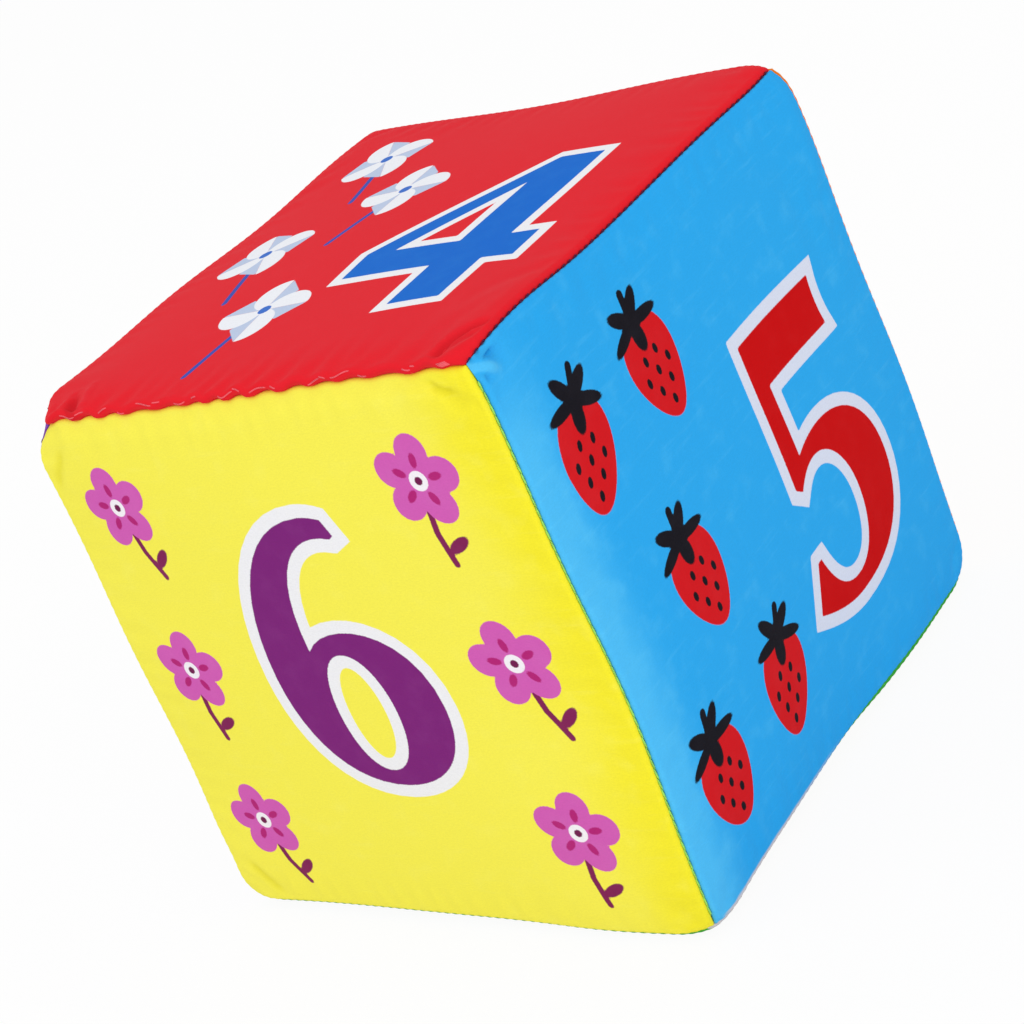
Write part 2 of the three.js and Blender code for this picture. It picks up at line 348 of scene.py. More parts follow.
def panel(name, swell):
    """One panel as a closed shell of cloth with its edges rolled in."""
    face, count, inner_count = FACES[name], FINE + 1, FINE // INNER_STEP + 1
    places, moved = grid_places(FINE), refined(swell)
    grid, ring = places.reshape(-1, 2), border_ring(count)
    share = grid[ring] / FLAT
    few = slice(None, None, INNER_STEP)
    outer = sewn(name, on_face(face, places, HALF)) + moved
    rings = [sewn(name, on_face(face, share * reach, depth)) for reach, depth in fold_profile()]
    inner = sewn(name, on_face(face, places[few, few], HALF - CLOTH)) + moved[few, few]
    points = np.concatenate([outer.reshape(-1, 3), *rings, inner.reshape(-1, 3)])
    points[:, 2] = np.maximum(points[:, 2] + HALF, 0)
    index = count**2 + np.arange(len(rings) * len(ring)).reshape(len(rings), -1)
    rolls = np.roll(tube_quads(np.vstack([ring, index]))[:, ::-1], 1, axis=1)
    start = count**2 + index.size
    faces = grid_quads(count).tolist() + rolls.tolist()
    faces += ring_fans(index[-1].tolist(), (start + border_ring(inner_count)).tolist())
    faces += (start + grid_quads(inner_count)[:, ::-1]).tolist()
    made = mesh_object(f"cloth_{name}", points, faces)
    rolled = [share * (FLAT + FOLD * (k + 1) / 2) for k in range(len(rings))]
    shown = np.concatenate([grid, *rolled])
    place = np.zeros((len(points), 3), np.float32)
    place[: len(shown), :2] = shown
    spots = made.data.attributes.new("cloth_place", "FLOAT_VECTOR", "POINT")
    spots.data.foreach_set("vector", place.ravel())
    # Each point's place in the folds, which paints shade into the valleys and highlights onto the ridges.
    point_values(made.data, "cloth_fold_light", painted_fold_light(name, shown))
    for layer, distance in print_distances(name, places).items():
        point_values(made.data, layer, distance, FAR)
    return made


# What sewing does to the cloth beside the seams.
STITCH_PITCH = 1.75
STITCH_DENT = 0.16
DENT_BAND = 2.6
CLOSING_PITCH = 5.9
LAP_BAND = 6.0
LAP_OUT = 0.55
LAP_LOBE = 0.60
LAP_DROP = 0.70
LAP_DEPTH = 3.2
LAP_END = 4.0
TUCK_IN = 0.70
TUCK_DOWN = 1.0

# A faint crease goes round each corner where the turned-in cloth ends.
CREASE_REACH = 8.0
CREASE_DEPTH = 0.16
CREASE_WIDTH = 1.2
CREASE_POWER = 1.7

# Spare cloth is gathered into folds at some corners. A fold has two ends, from the middle of the face, a
# bend to the left between them, a height, below zero for a valley, and a width.
Fold = namedtuple("Fold", "start end bend height width")
FOLD_DEEP = 0.8
FOLD_CLEAR = 0.5
FOLDS = {
    "red": [
        Fold((41.6, -48.5), (47.4, -39.8), 2.1, -0.90, 0.9),
        Fold((42.2, -45.6), (46.4, -41.4), 1.2, 0.50, 0.5),
        Fold((43.4, -46.0), (46.6, -42.2), 0.6, -0.35, 1.3),
        Fold((-34.6, -50.0), (-39.0, -43.6), 0.0, -1.30, 0.9),
        Fold((-32.6, -50.0), (-36.6, -41.4), 0.0, 0.55, 0.9),
    ],
    "blue": [
        Fold((-51.0, 49.6), (-44.4, 44.2), 0.0, 1.30, 1.0),
        Fold((-47.6, 48.4), (-42.8, 45.7), 0.2, -1.00, 0.8),
        Fold((-48.6, 46.8), (-46.2, 43.8), 0.0, -0.90, 0.6),
    ],
    "yellow": [
        Fold((39.0, 46.2), (43.4, 43.6), -0.3, -0.60, 0.7),
        Fold((41.5, 44.6), (46.0, 41.6), -0.4, -0.30, 1.6),
        Fold((-41.0, 43.0), (-47.0, 35.0), 0.0, -0.40, 1.2),
        Fold((-43.8, -38.6), (-38.0, -46.6), 0.0, -0.45, 1.3),
    ],
    "orange": [
        Fold((47.0, 47.0), (40.0, 41.0), 0.0, 0.50, 1.0),
        Fold((-46.0, 41.0), (-39.0, 46.5), 0.6, -0.45, 1.0),
    ],
    "purple": [
        Fold((46.5, 40.0), (39.5, 46.6), -0.8, -0.60, 1.0),
        Fold((-46.0, -41.0), (-40.0, -46.5), 0.5, -0.40, 1.1),
    ],
    "green": [Fold((-46.5, 39.5), (-39.5, 46.5), 0.6, 0.30, 1.1)],
}

# Two panels stand proud of the blue one: how far, and up to which share of the seam's half length.
Proud = namedtuple("Proud", "panel seam out last")
PROUD = [Proud("orange", "blue_orange", 0.6, 1.5), Proud("green", "green_blue", 0.7, 0.0)]
PROUD_BAND = 2.5
PROUD_FADE = 0.3


def lobes(along):
    """How far the hand-closed edge puffs out between its stitches, 0 to 1, a little unevenly."""
    drift = 1.2 * np.sin(along / 9) + 0.8 * np.sin(along / 4.1 + 1)
    turn = math.tau * along / CLOSING_PITCH + drift
    size = 0.76 + 0.24 * np.sin(along / 6.3 + 0.6)
    calm = smooth_step(HALF - 3, HALF - 10, along)
    return (0.5 + 0.5 * np.cos(turn)) ** 1.3 * size * (0.2 + 0.8 * calm)


def closing_detail(name, points):
    """The red edge laps over the tucked yellow one in uneven lobes."""
    moved = np.zeros_like(points)
    x, y, z = np.moveaxis(points, -1, 0)
    puff = lobes(x)
    ends = smooth_step(HALF, HALF - LAP_END, np.abs(x))
    if name == "red":
        near = near_edge(-y, LAP_BAND) * smooth_step(HALF - LAP_DEPTH, HALF - LAP_DEPTH / 2, z) * ends
        moved[..., 1] = -near * (LAP_OUT + LAP_LOBE * puff)
        moved[..., 2] = -near * LAP_DROP * puff
    if name == "yellow":
        near = near_edge(z, LAP_BAND) * ends
        moved[..., 1] = near * TUCK_IN
        moved[..., 2] = -near * TUCK_DOWN * (0.7 + 0.3 * puff)
    return moved


def stitch_dents(name, points):
    """Each machine stitch pulls the cloth in a little."""
    moved = np.zeros_like(points)
    for key in SEAMS:
        if name in key.split("_") and key != CLOSING:
            near, along, out = near_seam(points, key, DENT_BAND)
            pull = 0.5 + 0.5 * np.cos(math.tau * along / STITCH_PITCH)
            moved -= STITCH_DENT * (near * pull)[..., None] * out
    return moved


def corner_crease(first, second, turn):
    """An uneven valley round a corner, with a low ridge on the corner's side of it."""
    reach = (first**CREASE_POWER + second**CREASE_POWER) ** (1 / CREASE_POWER)
    skew = 1 + 0.35 * np.sin(3 * np.arctan2(first, second) + turn)
    offset = (reach - CREASE_REACH * (0.92 + 0.08 * skew)) / CREASE_WIDTH
    ridge = np.exp(-((offset + 2.0) ** 2) / 2.2)
    return CREASE_DEPTH * skew * (0.55 * ridge - np.exp(-(offset**2)))


def fold_height(places, fold):
    """How far a fold lifts the cloth at places on its face."""
    length = math.dist(fold.start, fold.end)
    ahead = np.subtract(fold.end, fold.start) / length
    away = places - fold.start
    along = away @ ahead
    share = np.clip(along / length, 0, 1)
    aside = away[..., 1] * ahead[0] - away[..., 0] * ahead[1] - 4 * fold.bend * share * (1 - share)
    fade = 0.3 + 0.7 * smooth_step(0, 0.3, share) * smooth_step(1, 0.7, share)
    return fold.height * fade * np.exp(-(aside**2 + (along - share * length) ** 2) / fold.width**2)


def corner_folds(name, points):
    """The creases and folds where a panel's cloth is gathered at its corners."""
    face = FACES[name]
    places = points @ np.transpose([face.right, face.up])
    height = sum(fold_height(places, fold) for fold in FOLDS[name])
    for side in (-1, 1):
        for end in (-1, 1):
            legs = np.clip(HALF - places * (side, end), 0, None)
            height += corner_crease(legs[..., 0], legs[..., 1], side + 2 * end)
    height *= smooth_step(0, FOLD_CLEAR, FLAT - np.abs(places).max(axis=-1))
    return height[..., None] * outward(face)


def painted_fold_light(name, places):
    """How places lie in the folds, from -1 in a valley to 1 on a ridge, for the painted shade in the
    valleys and the painted highlights on the ridges.
    """
    return np.clip(sum(fold_height(places, fold) for fold in FOLDS[name]) / FOLD_DEEP, -1, 1)


def proud_edges(name, points):
    """Edges that stand a little proud of the panel next to them."""
    moved = np.zeros_like(points)
    for edge in PROUD:
        if edge.panel == name:
            near, along, out = near_seam(points, edge.seam, PROUD_BAND)
            near *= smooth_step(edge.last, edge.last - PROUD_FADE, along / HALF)
            moved += edge.out * near[..., None] * out
    return moved


def sewn(name, points):
    """Points of the sharp cube, moved to where a panel's cloth has them."""
    pulled = closing_detail(name, points) + stitch_dents(name, points)
    return shaped(points) + pulled + corner_folds(name, points) + proud_edges(name, points)


# The print. Places are in hundredths of a face's side, from its lower left corner. Distances are negative
# inside. In an outline a pair of numbers is a corner, and six are a curve's two handles and its end.
FAR = 100.0
CURVE_STEPS = 12
SIX = [
    (58.2, 76.0), (59.6, 73.0), (58.6, 72.5), (50.5, 74.5, 42.9, 68.5, 42.9, 52.1),
    (48.5, 58.3, 66.3, 56.5, 66.3, 40.5), (66.3, 30.5, 59.5, 25.2, 51.0, 25.2),
    (39.5, 25.2, 32.1, 34.0, 32.1, 47.0), (32.1, 63.0, 40.5, 76.8, 53.5, 76.8),
    (55.2, 76.8, 56.8, 76.5, 58.2, 76.0),
]
SIX_EYE = [
    (49.3, 51.2), (45.3, 51.2, 42.9, 46.0, 42.9, 39.8), (42.9, 33.5, 45.3, 28.3, 49.3, 28.3),
    (53.3, 28.3, 55.8, 33.5, 55.8, 39.8), (55.8, 46.0, 53.3, 51.2, 49.3, 51.2),
]
FIVE = [
    (59.3, 68.5), (84.3, 68.5), (83.6, 66.0, 83.6, 62.0, 84.3, 59.5), (63.2, 59.3), (63.0, 45.9),
    (66.0, 47.2, 69.0, 47.6, 71.5, 47.6), (80.0, 47.6, 86.9, 42.5, 86.9, 33.0),
    (86.9, 23.5, 79.5, 16.9, 67.5, 16.9), (62.5, 16.9, 58.0, 18.9, 53.8, 21.1), (57.4, 28.9), (58.6, 28.9),
    (60.3, 23.5, 63.0, 20.1, 67.3, 20.1), (72.5, 20.1, 75.6, 25.0, 75.6, 31.5),
    (75.6, 38.5, 71.5, 43.6, 66.7, 43.6), (64.0, 43.6, 62.0, 42.3, 60.2, 40.7), (58.5, 42.0),
]
FOUR = [
    (66.5, 73.7), (76.0, 73.9), (75.0, 46.0), (80.4, 46.8), (80.4, 38.2), (74.2, 37.8), (73.9, 25.3),
    (63.6, 24.6), (63.9, 37.0), (44.6, 36.8), (44.4, 45.0),
]
FOUR_EYE = [(65.1, 65.0), (50.7, 45.0), (64.9, 45.1)]
THREE = [
    (36.5, 64.0), (37.5, 72.5, 43.0, 77.0, 50.5, 77.0), (59.5, 77.0, 65.0, 72.0, 65.0, 64.5),
    (65.0, 58.5, 62.0, 54.5, 57.5, 52.5), (63.5, 50.5, 66.5, 46.0, 66.5, 39.5),
    (66.5, 31.0, 60.0, 25.5, 50.5, 25.5), (42.0, 25.5, 36.0, 30.5, 35.0, 39.5), (45.0, 41.0),
    (45.5, 37.0, 47.5, 34.8, 50.5, 34.8), (54.0, 34.8, 56.0, 37.0, 56.0, 40.5),
    (56.0, 44.5, 53.5, 46.8, 49.0, 46.8), (46.5, 46.8), (46.5, 55.5), (49.0, 55.5),
    (52.8, 55.5, 55.0, 57.5, 55.0, 61.5), (55.0, 65.5, 53.3, 67.8, 50.5, 67.8),
    (47.7, 67.8, 46.3, 66.0, 45.8, 62.8),
]
TWO = [
    (35.5, 60.5), (35.5, 71.0, 41.0, 77.0, 50.5, 77.0), (60.0, 77.0, 66.0, 71.0, 66.0, 62.5),
    (66.0, 53.0, 58.0, 47.0, 51.0, 36.0), (66.0, 36.0), (66.0, 26.0), (34.5, 26.0), (34.5, 33.5),
    (44.0, 47.0, 55.0, 54.5, 55.0, 62.0), (55.0, 65.8, 53.4, 67.8, 50.5, 67.8),
    (47.4, 67.8, 46.0, 65.2, 46.0, 60.5),
]
ONE = [
    (46.0, 76.5), (57.0, 76.5), (57.0, 34.5), (64.5, 34.5), (64.5, 26.0), (38.0, 26.0), (38.0, 34.5),
    (46.0, 34.5), (46.0, 63.0), (44.0, 61.0, 41.0, 59.5, 37.5, 59.0), (37.5, 67.5),
    (41.5, 69.0, 44.5, 72.0, 46.0, 76.5),
]


def outline_points(path):
    """Corner points of a closed outline, with its curves cut into short steps."""
    t = np.linspace(0, 1, CURVE_STEPS + 1)[1:, None]
    u = 1 - t
    points = [path[0]]
    for step in path[1:]:
        if len(step) == 2:
            points.append(step)
        else:
            first, second, end = np.reshape(step, (3, 2))
            points += list(u**3 * points[-1] + 3 * u * u * t * first + 3 * u * t * t * second + t**3 * end)
    if np.allclose(points[0], points[-1]):
        points.pop()
    return np.array(points)


def line_distance(x, y, start, end):
    """Distance of points from a straight line between two ends."""
    along = np.subtract(end, start)
    share = ((x - start[0]) * along[0] + (y - start[1]) * along[1]) / max(along @ along, 1e-12)
    share = np.clip(share, 0, 1)
    return np.hypot(x - start[0] - share * along[0], y - start[1] - share * along[1])


def outline_distance(x, y, points):
    """Signed distance of points from a closed outline."""
    nearest = np.full(x.shape, FAR)
    inside = np.zeros(x.shape, bool)
    for start, end in zip(points, np.roll(points, -1, axis=0)):
        nearest = np.minimum(nearest, line_distance(x, y, start, end))
        if start[1] != end[1]:
            crosses = (start[1] > y) != (end[1] > y)
            at = start[0] + (y - start[1]) / (end[1] - start[1]) * (end[0] - start[0])
            inside ^= crosses & (x < at)
    return np.where(inside, -nearest, nearest)


SHARP_TURN = math.radians(20)
WIDEST_TURN = math.radians(125)


def mitres(points, width):
    """The small kites that give an outline's border sharp corners."""
    before, after = np.roll(points, 1, axis=0), np.roll(points, -1, axis=0)
    area = np.sum(points[:, 0] * after[:, 1] - points[:, 1] * after[:, 0])
    side = 1 if area > 0 else -1
    kites = []
    for past, here, coming in zip(before, points, after):
        into, onward = unit(here - past), unit(coming - here)
        turn = side * math.atan2(into[0] * onward[1] - into[1] * onward[0], into @ onward)
        if SHARP_TURN < turn < WIDEST_TURN:
            first = side * width * np.array([into[1], -into[0]])
            second = side * width * np.array([onward[1], -onward[0]])
            tip = (first + second) / (1 + first @ second / width**2)
            kites.append(np.array([here, here + first, here + tip, here + second]))
    return kites


def number_layers(x, y, shape, eye, width):
    """Distances from a number's white border and from the number itself."""
    points = outline_points(shape)
    number = outline_distance(x, y, points)
    border = number - width
    for kite in mitres(points, width):
        near = (np.abs(x - kite[0][0]) < 3 * width) & (np.abs(y - kite[0][1]) < 3 * width)
        border[near] = np.minimum(border[near], outline_distance(x[near], y[near], kite))
    if eye:
        hole = outline_distance(x, y, outline_points(eye))
        number = np.maximum(number, -hole)
        border = np.maximum(border, -hole - width)
    return {"print_border": border, "print_number": number}


def turned(x, y, angle):
    """Places seen in axes turned by an angle."""
    c, s = math.cos(angle), math.sin(angle)
    return x * c + y * s, y * c - x * s


def folded(x, y, count):
    """Places among a number of like petals, brought to one petal that points along x."""
    radius, step = np.hypot(x, y), math.tau / count
    angle = np.mod(np.arctan2(y, x) + step / 2, step) - step / 2
    return radius * np.cos(angle), radius * np.sin(angle)


# Each motif is drawn about its middle at a size of about one, and gives the distances from its inks.
def flower(x, y):
    """A five-petalled flower on a stem: stem, petals, petal marks, middle, dot."""
    px, py = folded(*turned(x, y, math.pi / 2), 5)
    middle = np.hypot(x, y)
    petals = np.minimum(np.hypot(px - 0.58, 1.08 * py) - 0.40, middle - 0.36)
    marks = np.hypot((px - 0.42) / 1.9, py) - 0.085
    bend = (0.08, -1.1)
    stem = np.minimum(line_distance(x, y, (0, 0), bend), line_distance(x, y, bend, (0.3, -1.75))) - 0.07
    lx, ly = turned(x - 0.48, y + 1.32, math.radians(38))
    stem = np.minimum(stem, np.hypot(lx / 2.2, ly) - 0.13)
    return [stem, petals, marks, middle - 0.21, middle - 0.09]


def strawberry(x, y):
    """A strawberry: fruit, then the seeds, leaves and stalk."""
    fruit = 0.6 * (np.hypot(x / (0.64 + 0.18 * y), (y + 0.15) / 0.85) - 1)
    px, py = folded(*turned(x, (y - 0.62) * 1.5, -math.pi / 2), 5)
    leaves = (np.hypot((px - 0.34) / 2.5, py) - 0.15) * 0.8
    dark = np.minimum(leaves, line_distance(x, y, (0, 0.62), (0.12, 1.05)) - 0.075)
    for height, count in ((0.04, 2), (-0.22, 3), (-0.48, 2), (-0.74, 1)):
        for k in range(count):
            across = (k - (count - 1) / 2) * 0.34
            dark = np.minimum(dark, np.hypot((x - across) * 1.5, y - height) - 0.085)
    return [fruit, dark]


def pinwheel(x, y):
    """A pinwheel: stick, back halves and front halves of its four blades, hub."""
    stick = line_distance(x, y, (0, 0), (0.12, -1.9)) - 0.06
    front, back = np.full(x.shape, FAR), np.full(x.shape, FAR)
    for k in range(4):
        px, py = turned(x, y, k * math.pi / 2 + 0.3)
        front = np.minimum(front, np.maximum(np.hypot(px - 0.48, py) - 0.48, -py))
        back = np.minimum(back, outline_distance(px, py, np.array([(0, 0), (0.96, 0), (0.52, -0.42)])))
    return [stick, back, front, np.hypot(x, y) - 0.13]


def daisy(x, y):
    """A daisy: petals, middle."""
    px, py = folded(x, y, 11)
    return [np.hypot((px - 0.62) / 2.0, py) - 0.185, np.hypot(x, y) - 0.30]


def star(x, y):
    """A star with a smaller one on it."""
    px, py = folded(*turned(x, y, math.pi / 2), 5)
    slope = math.radians(52)
    return [np.abs(py) * math.cos(slope) + (px - tip) * math.sin(slope) * 0.62 for tip in (1.0, 0.5)]


def balloon(x, y):
    """A balloon: string, balloon with its knot, highlight."""
    string = np.maximum(np.abs(x - 0.06 * np.sin(5 * y)) - 0.03, np.maximum(y + 0.9, -2.3 - y))
    skin = np.hypot(x / 0.82, y - 0.1 * (1 - np.abs(x))) * 0.9 - 0.9
    knot = outline_distance(x, y, np.array([(0, -0.82), (0.14, -1.04), (-0.14, -1.04)]))
    hx, hy = turned(x + 0.34, y - 0.42, math.radians(-35))
    return [string, np.minimum(skin, knot), np.hypot(hx * 2.2, hy) - 0.2]


# What a face shows: a number with its shift, scale and border, and a motif with its size, tilt and places.
Print = namedtuple("Print", "shape eye shift scale border motif size tilt places")
MOTIF_REACH = 2.6
YELLOW_PLACES = [(14, 19), (14.5, 51), (15, 83), (83, 20), (84.5, 51), (82.5, 83)]
BLUE_PLACES = [(14, 20), (37, 22), (25.5, 49), (14, 78), (37, 80)]
RED_PLACES = [(20, 82), (39, 65), (19, 47), (39, 24)]
PRINTS = {
    "yellow": Print(SIX, SIX_EYE, (1.9, 2.6), 0.975, 2.45, flower, 8.0, 8, YELLOW_PLACES),
    "blue": Print(FIVE, None, (-1.6, 1.2), 1, 2.3, strawberry, 10.5, 10, BLUE_PLACES),
    "red": Print(FOUR, FOUR_EYE, (7.2, -6.0), 1, 2.05, pinwheel, 10.0, 14, RED_PLACES),
    "green": Print(THREE, None, (0, 0), 1, 2.4, daisy, 8.5, 12, [(17, 22), (83, 50), (17, 80)]),
    "purple": Print(TWO, None, (0, 0), 1, 2.4, star, 9.0, 12, [(17, 78), (83, 24)]),
    "orange": Print(ONE, None, (0, 0), 1, 2.4, balloon, 11.0, 6, [(80, 66)]),
}


def print_distances(name, places):
    """Distances in millimetres from every layer of a face's print."""
    wanted = PRINTS[name]
    x, y = np.moveaxis(50 + 50 * places / SEAM, -1, 0)
    number_x, number_y = ((p - 50 - s) / wanted.scale + 50 for p, s in zip((x, y), wanted.shift))
    layers = number_layers(number_x, number_y, wanted.shape, wanted.eye, wanted.border)
    reach = MOTIF_REACH * wanted.size
    for i, (px, py) in enumerate(wanted.places):
        near = (np.abs(x - px) < reach) & (np.abs(y - py) < reach)
        tilt = math.radians(wanted.tilt) * (-1) ** i
        mx, my = turned((x[near] - px) / wanted.size, (y[near] - py) / wanted.size, tilt)
        for k, distance in enumerate(wanted.motif(mx, my)):
            layer = layers.setdefault(f"print_ink_{k + 1}", np.full(x.shape, FAR))
            layer[near] = np.minimum(layer[near], distance * wanted.size)
    hundredth = 2 * SEAM / 100
    return {layer: np.clip(distance * hundredth, -FAR, FAR) for layer, distance in layers.items()}


# Materials.
def linear(colour):
    """A colour given as 0 to 255 on a screen, as the shader's linear colour."""
    share = [c / 255 for c in colour]
    return tuple(c / 12.92 if c <= 0.04045 else ((c + 0.055) / 1.055) ** 2.4 for c in share) + (1.0,)


def tinted(colour, share, tone):
    """A colour moved by a share towards a tone of grey."""
    return [c + (tone - c) * share for c in colour]


class Shader:
    """The nodes of a material or a world, added and linked by short calls."""

    def __init__(self, owner):
        owner.use_nodes = True
        self.owner, self.tree = owner, owner.node_tree

    def node(self, kind, *inputs, **named):
        """A node with its first inputs fed in order. Capitals name more inputs, small letters settings."""
        made = self.tree.nodes.new("ShaderNode" + kind)
        for key, value in named.items():
            if key.istitle():
                self.feed(made.inputs[key], value)
            else:
                setattr(made, key, value)
        for socket, value in zip(made.inputs, inputs):
            self.feed(socket, value)
        return made

    def feed(self, socket, value):
        """Links a socket, or sets its own value."""
        if isinstance(value, bpy.types.NodeSocket):
            self.tree.links.new(value, socket)
        else:
            socket.default_value = value

    def set(self, name, value):
        """An input of the material's surface."""
        self.feed(self.tree.nodes["Principled BSDF"].inputs[name], value)

    def math(self, operation, *values, clamp=False):
        return self.node("Math", *values, operation=operation, use_clamp=clamp).outputs[0]

    def add(self, first, second, clamp=False):
        return self.math("ADD", first, second, clamp=clamp)

    def times(self, first, second):
        return self.math("MULTIPLY", first, second)

    def swing(self, noise, width):
        """A noise, which lies about a half, as a swing of some width about zero."""
        return self.times(self.math("SUBTRACT", noise, 0.5), width)

    def ramp(self, value, low, high, start=0.0, end=1.0):
        """value carried from one span to another, held at its ends."""
        smooth = self.node("MapRange", value, low, high, start, end, interpolation_type="SMOOTHSTEP")
        return smooth.outputs[0]

    def attribute(self, name, output="Fac"):
        return self.node("Attribute", attribute_name=name).outputs[output]

    def place(self):
        """Places in the object's own axes, in metres."""
        return self.node("TexCoord").outputs["Object"]

    def stretched(self, vector, scale):
        """Coordinates scaled by a different amount each way."""
        return self.node("Mapping", vector, Scale=scale).outputs[0]

    def noise(self, vector, scale, detail=2.0, roughness=0.5):
        return self.node("TexNoise", vector, Scale=scale, Detail=detail, Roughness=roughness).outputs[0]

    def mix(self, share, *colours):
        """The second of two colours over the first. Plain ones are given as 0 to 255 on a screen."""
        made = self.node("Mix", share, data_type="RGBA")
        for socket, colour in zip(made.inputs[6:8], colours):
            self.feed(socket, colour if isinstance(colour, bpy.types.NodeSocket) else linear(colour))
        return made.outputs[2]

    def bump(self, height, strength, distance):
        made = self.node("Bump", Strength=strength, Distance=distance * MM, Height=height)
        self.set("Normal", made.outputs[0])


# Width of the band of painted shading along a panel's chosen seams, where the cloth goes deeper in tone.
EDGE_SHADE_BAND = 16.0
BARE_CLOTH = (206, 200, 204)
BARE_WIDTH = 0.55
BARE_LENGTH = 46.0
BARE_CLEAR = 3.0
# How far the painted shade in the fold valleys goes towards black.
CREASE_SHADE_SHARE = 0.07
WORN_SHARE, WORN_TONE = 0.03, 235


def cloth_material(
    name, colour, shade_tone, pale, number, inks, border=(236, 236, 240), shade_sides="all", shade_width=EDGE_SHADE_BAND,
    highlight_side=0.0, bare=None,
):
    """Printed short-pile polyester: a fine nap with faint streaks, painted deeper at the seams and in the
    folds as painted shade.

    Fold ridges have a painted highlight, and a highlight side a painted highlight along its left edge. A
    bare edge shows unprinted cloth along part of its fold: the left part of the lower one or the upper part
    of the right one.
    """
    shader = Shader(bpy.data.materials.new(f"printed_cloth_{name}"))
    place = shader.attribute("cloth_place", "Vector")
    across, height, _ = shader.node("SeparateXYZ", place).outputs
    broad = shader.noise(place, 0.045, 3.0)
    cloud = shader.noise(place, 0.22, 3.0)
    streak = shader.noise(shader.stretched(place, (0.09, 0.8, 1.0)), 1.0, 3.0, 0.6)
    nap = shader.noise(place, 3.2, 3.0, 0.65)
    fibre = shader.noise(shader.stretched(place, (1.3, 5.5, 1.0)), 1.0, 2.0)
    # Painted shading: towards the chosen sides the ground goes over to the deeper shade tone, and the
    # middle stays paler.
    rim = across
    if shade_sides == "all":
        rim = shader.math("MAXIMUM", shader.math("ABSOLUTE", across), shader.math("ABSOLUTE", height))
    elif shade_sides == "right and lower":
        rim = shader.math("MAXIMUM", across, shader.times(height, -1.0))
    rim = shader.add(rim, shader.swing(broad, shade_width))
    ground = shader.mix(shader.ramp(rim, FLAT - shade_width, FLAT), colour, shade_tone)
    # Painted shade and highlight of the folds: valleys go towards a darkened shade tone, ridges towards the
    # pale tone.
    fold = shader.attribute("cloth_fold_light")
    ground = shader.mix(shader.ramp(fold, 0.0, -1.0), ground, tinted(shade_tone, CREASE_SHADE_SHARE, 0))
    lift = shader.add(shader.ramp(streak, 0.54, 0.78, 0.0, 0.24), shader.ramp(cloud, 0.5, 0.8, 0.0, 0.25))
    lift = shader.add(lift, shader.ramp(fold, 0.0, 1.0, 0.0, 0.6))
    # Painted highlight: the cloth is lighter along the left edge, fading towards the top.
    if highlight_side:
        reach = shader.add(across, shader.swing(cloud, 14.0))
        painted_edge_highlight = shader.ramp(reach, 12.0 - FLAT, 1.0 - FLAT, 0.0, highlight_side)
        painted_edge_highlight = shader.times(painted_edge_highlight, shader.ramp(height, FLAT - 3.0, FLAT - 15.0, 0.25, 1.0))
        lift = shader.add(lift, painted_edge_highlight, clamp=True)
    printed = shader.mix(lift, ground, pale)
    wander = shader.swing(nap, 0.22)
    layers = ["print_border", "print_number"] + [f"print_ink_{k + 1}" for k in range(len(inks))]
    for layer, ink in zip(layers, [border, number, *inks]):
        edge = shader.add(shader.attribute(layer), wander)
        tone = shader.mix(shader.ramp(cloud, 0.42, 0.74), ink, tinted(ink, WORN_SHARE, WORN_TONE))
        printed = shader.mix(shader.ramp(edge, 0.10, -0.10), printed, tone)
    if bare:
        side, end = across, height
        if bare == "lower":
            side, end = shader.times(height, -1.0), shader.times(across, -1.0)
        strip = shader.ramp(side, FLAT - BARE_WIDTH, FLAT)
        part = shader.ramp(end, FLAT - BARE_LENGTH, FLAT - BARE_LENGTH / 2)
        if bare == "lower":
            part = shader.times(part, shader.ramp(end, FLAT, FLAT - BARE_CLEAR))
        printed = shader.mix(shader.times(strip, part), printed, BARE_CLOTH)
    grain = shader.ramp(shader.add(nap, shader.times(fibre, 0.6)), 0.5, 1.1, 0.955, 1.03)
    shaded = shader.node("VectorMath", printed, operation="SCALE", Scale=grain)
    shader.set("Base Color", shaded.outputs[0])
    shader.set("Roughness", shader.ramp(nap, 0.3, 0.7, 0.80, 0.95))
    shader.set("Specular IOR Level", 0.08)
    shader.set("Sheen Weight", 0.03)
    shader.set("Sheen Roughness", 0.4)
    shader.bump(shader.add(nap, shader.times(fibre, 0.8)), 0.22, 0.10)
    return shader.owner


CLOTHS = {
    "yellow": dict(
        colour=(244, 235, 82), shade_tone=(242, 230, 46), pale=(246, 239, 106), shade_sides="right",
        number=(122, 34, 118),
        inks=[(126, 34, 84), (206, 92, 178), (176, 36, 116), (240, 236, 242), (110, 28, 78)],
    ),
    "blue": dict(
        colour=(42, 165, 233), shade_tone=(40, 165, 234), pale=(84, 190, 242), highlight_side=0.75, bare="lower",
        number=(197, 3, 7), border=(212, 218, 235),
        inks=[(206, 20, 28), (18, 16, 24)],
    ),
    "red": dict(
        colour=(222, 33, 45), shade_tone=(225, 29, 41), pale=(222, 46, 58),
        shade_sides="right and lower", shade_width=7.0, number=(14, 104, 203),
        inks=[(60, 78, 170), (186, 200, 226), (236, 238, 244), (58, 110, 200)],
    ),
    "green": dict(
        colour=(82, 184, 72), shade_tone=(66, 170, 58), pale=(120, 204, 108), bare="right",
        number=(226, 110, 32),
        inks=[(240, 240, 244), (248, 214, 52)],
    ),
    "purple": dict(
        colour=(138, 75, 176), shade_tone=(124, 62, 164), pale=(160, 104, 194),
        number=(248, 214, 48),
        inks=[(246, 212, 50), (240, 150, 40)],
    ),
    "orange": dict(
        colour=(241, 138, 36), shade_tone=(236, 124, 24), pale=(246, 164, 80),
        number=(52, 160, 78),
        inks=[(40, 70, 150), (46, 120, 206), (206, 226, 246)],
    ),
}


